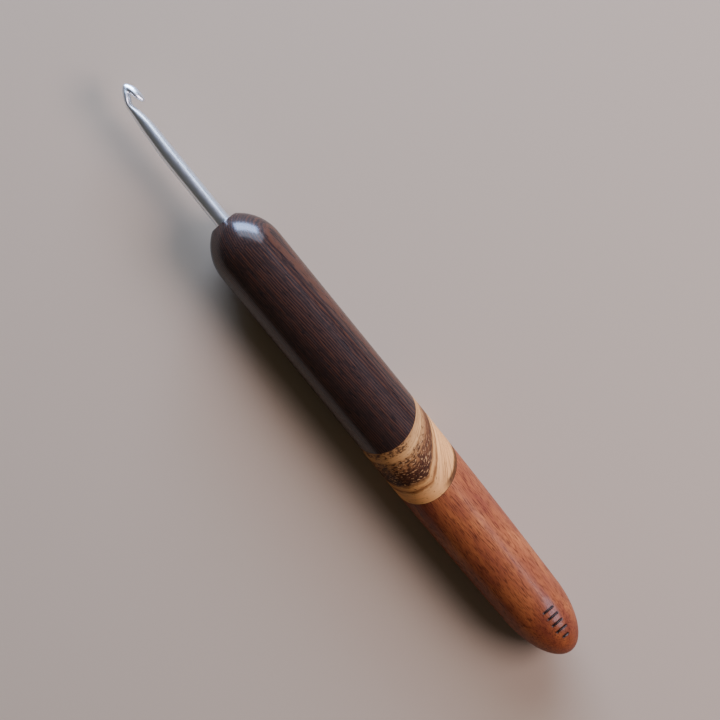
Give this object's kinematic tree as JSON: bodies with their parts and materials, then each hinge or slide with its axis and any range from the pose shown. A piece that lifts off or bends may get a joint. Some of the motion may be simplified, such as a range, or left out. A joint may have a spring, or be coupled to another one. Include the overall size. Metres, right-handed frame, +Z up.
{
  "type": "crochet hook",
  "caption": "Crochet hook: slender aluminium hook glued into a round turned handle of dark, striped and red-brown wood with oblique joints and a rounded tail.",
  "frame": {"origin": "on the surface that the handle lies on, under the middle of the whole tool", "axes": "+X along the tool towards the hook's tip, +Z up, the hook's lip points to -Y"},
  "size_m": [0.1962, 0.02, 0.02],
  "materials": {
    "aluminium": "tumbled satin, lightly polished by use",
    "epoxy": "cured amber epoxy, hidden in the bore",
    "wenge": "fine dark and brown lines under a satin oil lacquer",
    "wood_glue": "thin dark glue line, sanded flush",
    "zebrano": "pale wood with speckled brown stripes under a satin oil lacquer",
    "jatoba": "red-brown wood with short dark pores under a satin oil lacquer, burnt strokes at the tail"
  },
  "bodies": {
    "root": {"hook": "aluminium", "tang_glue": "epoxy", "wenge_front": "wenge", "front_joint_glue": "wood_glue", "zebrano_band": "zebrano", "rear_joint_glue": "wood_glue", "jatoba_rear": "jatoba"}
  },
  "joints": []
}
